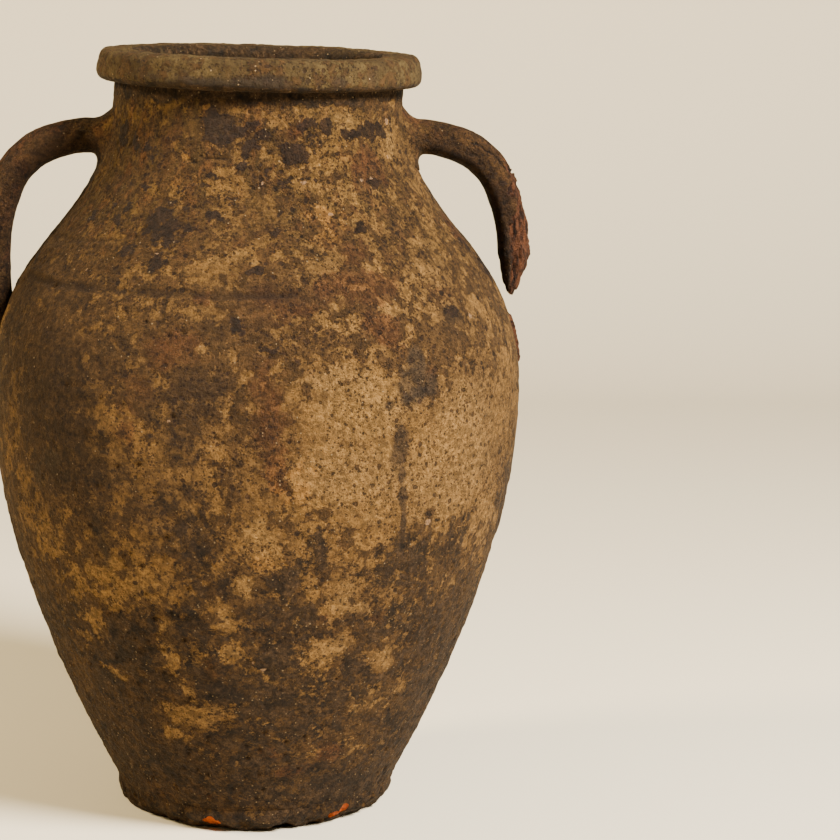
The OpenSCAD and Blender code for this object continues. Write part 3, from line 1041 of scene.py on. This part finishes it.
def elsewhere(n, where, offset):
    """The place moved aside, so that the same noise gives another pattern."""
    return n.vector("ADD", where, (offset, -offset, 0.5 * offset))


def add_patterns(n):
    """The noises that the layers of clay share."""
    n.where = n.add("ShaderNodeTexCoord").outputs["Object"]
    n.place = jostled(n, n.where, 9 * MM, 3.0, 5 * MM)
    n.blotch = n.noise(n.place, 13 * MM, 8, 0.68)
    n.lace = n.noise(elsewhere(n, n.place, 0.7), 13 * MM, 8, 0.68)
    n.ragged = n.noise(elsewhere(n, n.place, 1.9), 8 * MM, 8, 0.72)
    n.fine = n.noise(n.where, 3.2 * MM, 5, 0.72)
    n.grit = n.noise(elsewhere(n, n.where, 3.1), 1.5 * MM, 3, 0.7)


def ground_clay(n, light, dark):
    """Bare fired clay: cloudy, with soft ochre, red and orange places."""
    light = n.mix(n.mask("root"), light, WALL_LIGHT)
    dark = n.mix(n.mask("root"), dark, WALL_DARK)
    base = n.mix(n.ramp(n.noise(n.place, 45 * MM, 4, 0.6), 0.4, 0.6), dark, light)
    base = n.mix(n.ramp(n.fine, 0.42, 0.66, 0, 0.5), base, n.mix(0.55, dark, colour(52, 35, 17)))
    base = tinted(n, base, "olive", 0.6, n.mix(0.5, base, colour(60, 47, 18)))
    ochre = n.mix(n.ramp(n.fine, 0.4, 0.62), colour(142, 108, 62), colour(118, 88, 48))
    base = laid(n, base, "ochre", 0.5, ochre, n.blotch, 0.2, 0.8, 1.2)
    base = laid(n, base, "red", 0.5, colour(85, 47, 26), n.blotch, 0.3, 0.6, 1.5)
    return laid(n, base, "orange", 0.5, colour(138, 94, 42), n.blotch, 0.3, 0.65, 1.4)


def filmed(n, base):
    """A thin brown film, worn to lace; its mask also carries painted shade under the rim and, in part, on the
    left side.
    """
    n.film = flakes(n, n.mask("film"), n.lace)
    tint = n.mix(n.ramp(n.blotch, 0.4, 0.62), colour(62, 43, 21), colour(50, 33, 17))
    tint = tinted(n, tint, "red", 0.5, colour(70, 36, 19))
    tint = n.mix(n.ramp(n.fine, 0.5, 0.64, 0, 0.5), tint, colour(90, 65, 34))
    return n.mix(n.times(n.film, 0.86), base, tint)


def streaked(n, base):
    """Faint runs down the neck and shoulder, some olive and some reddish."""
    runs = n.noise(n.vector("MULTIPLY", n.where, (1, 1, 0.2)), 8 * MM, 4, 0.6)
    base = n.mix(n.times(n.mask("streak"), n.ramp(runs, 0.5, 0.62, 0, 0.6)), base, colour(72, 55, 25))
    return n.mix(n.times(n.mask("streak"), n.ramp(runs, 0.46, 0.36, 0, 0.5)), base, colour(98, 62, 32))


def stained(n, base):
    """Brown stains, grey patches and drips. The stain mask also carries painted shade on the handles' inner
    sides and down the rim's bore.
    """
    base = laid(n, base, "stain_and_shade", 0.62, colour(40, 28, 17), n.blotch, 0.1, 0.9, 1.2)
    base = laid(n, base, "grey", 0.75, colour(56, 44, 31), n.ragged, 0.1, 0.7, 0.5)
    base = laid(n, base, "drip", 0.78, colour(48, 36, 25), n.ragged, 0.2, 0.7, 0.6)
    return laid(n, base, "deep", 0.6, colour(40, 33, 28), n.ragged, 0.2, 0.8, 0.7)


def dotted(n, base):
    """Dark specks of three sizes, crowded in places."""
    crowd = n.times(n.mask("speck"), n.ramp(n.noise(n.where, 18 * MM, 4, 0.6), 0.3, 0.62, 0.35, 1.7))
    shaken = jostled(n, n.where, 1.6 * MM, 2.0, 1.8 * MM)
    n.dots = 0.0
    for size, share, largest in ((1.9, 1.0, 0.5), (3.1, 0.8, 0.48), (6.0, 0.7, 0.42)):
        n.dots = n.math("MAXIMUM", n.dots, speckle(n, shaken, size * MM, n.times(crowd, share), largest))
    tint = n.mix(n.ramp(n.blotch, 0.42, 0.6), colour(40, 24, 14), colour(28, 19, 12))
    return n.mix(n.times(n.dots, 0.78), base, tint)


def crusted(n, base):
    """Soot, and a crust of dirt in flakes. The crust mask also carries painted shade under the rim and down
    the rim's bore.
    """
    n.soot = edged(n, n.mask("soot"), n.ragged, 0.44, 0.52, 2.1)
    tint = n.mix(n.ramp(n.grit, 0.4, 0.7), colour(24, 15, 10), colour(50, 33, 22))
    base = n.mix(n.times(n.soot, 0.88), base, tint)
    n.crust = flakes(n, n.mask("crust"), n.noise(elsewhere(n, n.place, 5.3), 8 * MM, 8, 0.76), 0.03)
    tint = n.mix(n.ramp(n.lace, 0.38, 0.6), colour(22, 16, 10), colour(72, 53, 34))
    tint = n.mix(n.ramp(n.fine, 0.4, 0.6, 0, 0.6), tint, colour(28, 19, 11))
    return n.mix(n.times(n.crust, 0.9), base, tint)


def mottled(n, base, share):
    """Light and dark grain over all of it, an olive tinge, and pale grains that catch the light."""
    chunks = n.noise(elsewhere(n, n.place, 7.7), 5.5 * MM, 7, 0.72)
    tone = n.times(n.ramp(chunks, 0.4, 0.6, 1.32, 0.6), n.ramp(n.grit, 0.36, 0.64, 1.2, 0.8))
    base = n.mix(share, base, tone, "MULTIPLY")
    base = tinted(n, base, "olive", 0.6, (0.95, 0.9, 0.6, 1), "MULTIPLY")
    n.sparkle = speckle(n, n.where, 2.5 * MM, n.math("MULTIPLY_ADD", n.mask("crust"), 0.34, 0.07), 0.34)
    return n.mix(n.times(n.sparkle, 0.7), base, colour(142, 118, 84))


def damaged(n, base):
    """Torn clay, the incised line, cracks, pits, pale nicks and fresh orange chips. The crack mask also
    paints shade along the edge of the torn face.
    """
    split = n.noise(n.vector("MULTIPLY", n.where, (1, 1, 0.3)), 4 * MM, 6, 0.7)
    torn = n.mix(n.ramp(split, 0.4, 0.6), colour(32, 18, 11), colour(92, 55, 33))
    torn = n.mix(n.ramp(n.grit, 0.5, 0.64, 0, 0.45), torn, colour(34, 17, 11))
    base = tinted(n, base, "torn", 0.95, torn)
    base = tinted(n, base, "groove", 0.6, colour(33, 22, 13))
    # The crack mask also holds painted shade along the edge of the right handle's torn face.
    base = tinted(n, base, "crack", 0.85, colour(18, 12, 7))
    base = n.mix(n.ramp(n.mask("pit"), 0.3, 0.95, 0, 0.5), base, colour(28, 18, 10))
    base = laid(n, base, "pale", 0.85, colour(142, 110, 80), n.grit, 0.62, 0.7, 0.6)
    return laid(n, base, "fresh", 1.0, colour(176, 78, 16), n.ragged, 0.4, 0.55, 0.9)


def clay_material(name, light, dark, roughness=0.86, mottle=1.0):
    """Fired clay under stains, soot, crust, specks and pale grains, and painted shade in a few places, placed
    by the piece's masks.
    """
    n = Nodes(name)
    add_patterns(n)
    base = streaked(n, filmed(n, ground_clay(n, light, dark)))
    base = crusted(n, dotted(n, stained(n, base)))
    base = damaged(n, mottled(n, base, mottle))
    height = n.math("MULTIPLY_ADD", n.fine, 1.0, n.times(n.grit, 0.4))
    relief = {n.lace: 1.0, n.dots: -0.5, n.soot: 0.3, n.film: 0.25, n.crust: 0.45, n.sparkle: 0.35}
    for layer, share in relief.items():
        height = n.math("MULTIPLY_ADD", layer, share, height)
    sockets = {"Strength": 1.0, "Distance": 5.5 * MM * mottle, "Height": height}
    bump = n.add("ShaderNodeBump", sockets).outputs[0]
    rough = n.math("MULTIPLY_ADD", n.blotch, 0.25, roughness - 0.13)
    rough = n.math("MULTIPLY_ADD", n.soot, -0.1, rough)
    n.finish({"Base Color": base, "Roughness": rough, "Normal": bump, "Specular IOR Level": 0.15})
    return n.material


# ---- Setting ----


CAMERA_PLACE = (0, -2.1943, 0.7342)
CAMERA_PITCH = math.radians(10.99)
CAMERA_YAW = math.radians(3.42)
CAMERA_ROLL = 0.0109
CAMERA_LENS = 120.19

FLOOR_FRONT = -3.5
FLOOR_BACK = 1.7
FLOOR_HALF = 4.5
WALL_BEND = 0.6

ROOM_TINT = (1.0, 0.87, 0.58, 1)
ROOM_STRENGTH = 0.22


def add_camera():
    """The viewer stands 2.2 m away, a little above the rim, and looks down at the jar."""
    data = bpy.data.cameras.new("camera")
    data.sensor_width = 36
    data.lens = CAMERA_LENS
    camera = bpy.data.objects.new("camera", data)
    tilt = Matrix.Rotation(math.pi / 2 - CAMERA_PITCH, 4, "X") @ Matrix.Rotation(CAMERA_ROLL, 4, "Z")
    camera.matrix_world = Matrix.Translation(CAMERA_PLACE) @ Matrix.Rotation(-CAMERA_YAW, 4, "Z") @ tilt
    bpy.context.scene.collection.objects.link(camera)
    bpy.context.scene.camera = camera


def add_backdrop():
    """A pale floor that sweeps up into a low wall behind the jar."""
    a = np.radians(np.linspace(5, 90, 18))
    bend = np.stack([FLOOR_BACK + WALL_BEND * np.sin(a), WALL_BEND - WALL_BEND * np.cos(a)], 1)
    line = np.concatenate([[[FLOOR_FRONT, 0.0], [FLOOR_BACK, 0.0]], bend])
    points = np.array([[x, y, z] for y, z in line for x in (-FLOOR_HALF, FLOOR_HALF)])
    floor = make_mesh("floor", points, [quads(np.arange(len(points)).reshape(-1, 2))])
    n = Nodes("pale_paper")
    n.finish({"Base Color": colour(222, 210, 184), "Roughness": 0.9})
    floor.data.materials.append(n.material)


def add_area_light(name, place, target, size, power, tint):
    """A round lamp at a place, aimed at a target."""
    data = bpy.data.lights.new(name, "AREA")
    data.shape = "DISK"
    data.size = size
    data.energy = power
    data.color = tint
    lamp = bpy.data.objects.new(name, data)
    aim = np.array(target, float) - np.array(place, float)
    aim /= np.linalg.norm(aim)
    rise = math.atan2(aim[2], math.hypot(aim[0], aim[1]))
    turn = Matrix.Rotation(math.atan2(aim[1], aim[0]) - math.pi / 2, 4, "Z")
    lamp.matrix_world = Matrix.Translation(place) @ turn @ Matrix.Rotation(math.pi / 2 + rise, 4, "X")
    bpy.context.scene.collection.objects.link(lamp)


def add_lights():
    """A broad warm light from the right front, a dimmer and warmer one from the left, and a pale room."""
    add_area_light("key", (1.5, -1.45, 2.05), (0, 0, 0.35), 0.9, 345, (1.0, 0.95, 0.87))
    add_area_light("back", (-2.1, 0.1, 1.6), (0, 0, 0.1), 0.6, 105, (1.0, 0.82, 0.52))
    world = bpy.data.worlds.new("studio")
    world.use_nodes = True
    room = world.node_tree.nodes["Background"].inputs
    room["Color"].default_value = ROOM_TINT
    room["Strength"].default_value = ROOM_STRENGTH
    bpy.context.scene.world = world


# ---- The jar ----


STAGES = (
    ("lower_wall", JOINT_BASE, JOINT_LOWER, "dark_crusted_clay"),
    ("belly_lower", JOINT_LOWER, JOINT_BELLY, "weathered_clay"),
    ("belly_upper", JOINT_BELLY, JOINT_SHOULDER, "weathered_clay"),
    ("shoulder", JOINT_SHOULDER, JOINT_NECK, "weathered_clay"),
)


def dress(piece, node, material):
    """Gives a piece its material, and puts it in its node's place on the body."""
    piece.data.materials.append(material)
    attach(piece, "root")
    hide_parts(node)


def build():
    """Makes every piece of the jar, from the foot up."""
    wall = clay_material("wall_clay", WALL_LIGHT, WALL_DARK)
    dress(base_piece(), "base", wall)
    for node, low, high, slot in STAGES:
        dress(stage_piece(node, low, high), node, wall)
    dress(neck_piece(), "neck", wall)
    rim = clay_material("rim_clay", colour(82, 67, 42), colour(61, 48, 29), 0.8, 0.4)
    dress(rim_piece(), "rim", rim)
    handle = clay_material("handle_clay", colour(74, 49, 27), colour(54, 35, 19))
    dress(left_handle_piece(), "left_handle", handle)
    dress(right_handle_piece(), "right_handle_stub", handle)
    torn = clay_material("torn_clay", colour(92, 56, 36), colour(66, 38, 24))
    dress(scar_piece(), "right_handle_scar", torn)


add_camera()
add_backdrop()
add_lights()
build()
